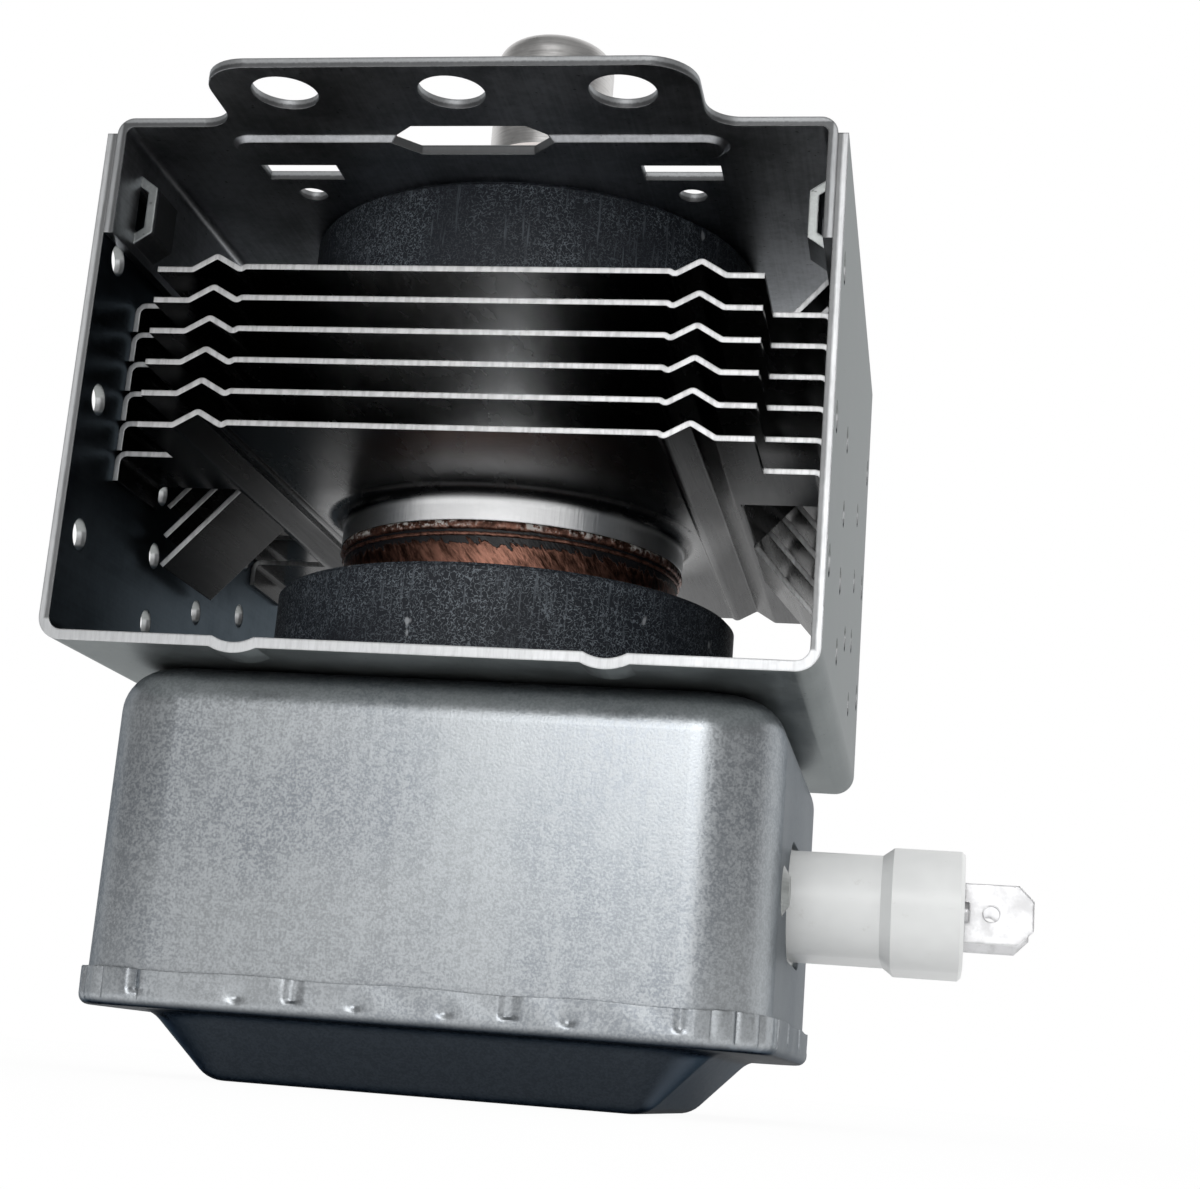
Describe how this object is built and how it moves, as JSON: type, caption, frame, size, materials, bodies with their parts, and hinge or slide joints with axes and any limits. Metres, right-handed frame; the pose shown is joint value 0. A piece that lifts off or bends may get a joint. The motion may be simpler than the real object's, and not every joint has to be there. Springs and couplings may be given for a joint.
{
  "type": "magnetron",
  "caption": "Microwave-oven magnetron: finned copper anode between ring magnets in a folded steel yoke, with antenna, mounting flange and filter box with quick-connect tabs.",
  "frame": {"origin": "centre of the mounting flange's outer face, on the antenna's axis", "axes": "+Z along the antenna, +X towards the terminals, cooling air along Y"},
  "size_m": [0.102, 0.106, 0.1292],
  "materials": {
    "galvanised_steel": "satin zinc-plated sheet",
    "ferrite": "matt dark sintered ferrite",
    "aluminium_fin": "rolled aluminium with bright cut edges",
    "copper": "bare copper with torn dark coating",
    "pole_iron": "soft iron",
    "seal_metal": "drawn sealing alloy",
    "white_ceramic": "alumina",
    "cap_steel": "drawn steel",
    "gasket_mesh": "knitted wire",
    "tungsten": "drawn refractory metal",
    "box_steel": "zinc-coated sheet with fine spangle",
    "lid_steel": "zinc-coated sheet",
    "enamelled_copper": "enamelled wire",
    "choke_ferrite": "sintered ferrite",
    "tinned_metal": "bright tinned",
    "insulator": "off-white moulding",
    "capacitor_case": "moulded case"
  },
  "bodies": {
    "root": {"yoke_bracket": "galvanised_steel", "yoke_top_plate": "galvanised_steel", "upper_magnet": "ferrite", "lower_magnet": "ferrite", "cooling_fin_1": "aluminium_fin", "cooling_fin_2": "aluminium_fin", "cooling_fin_3": "aluminium_fin", "cooling_fin_4": "aluminium_fin", "cooling_fin_5": "aluminium_fin", "cooling_fin_6": "aluminium_fin", "anode_cylinder": "copper", "anode_vanes": "copper", "strap_rings": "copper", "upper_pole_piece": "pole_iron", "lower_pole_piece": "pole_iron", "upper_seal_cup": "seal_metal", "lower_seal_cup": "seal_metal", "antenna_ceramic": "white_ceramic", "exhaust_tube": "copper", "antenna_lead": "copper", "antenna_cap": "cap_steel", "rf_gasket": "gasket_mesh", "filament": "tungsten", "upper_end_hat": "tungsten", "lower_end_hat": "tungsten", "centre_lead": "tungsten", "side_lead": "tungsten", "stem_ceramic": "white_ceramic", "stem_terminals": "tinned_metal", "filter_box": "box_steel", "filter_lid": "lid_steel", "choke_coil_front": "enamelled_copper", "choke_coil_rear": "enamelled_copper", "choke_core_front": "choke_ferrite", "choke_core_rear": "choke_ferrite", "capacitor_ground_plate": "galvanised_steel", "capacitor_rivets": "tinned_metal", "capacitor_body": "capacitor_case", "terminal_insulator": "insulator", "terminal_tab_front": "tinned_metal", "terminal_tab_rear": "tinned_metal"}
  },
  "joints": []
}
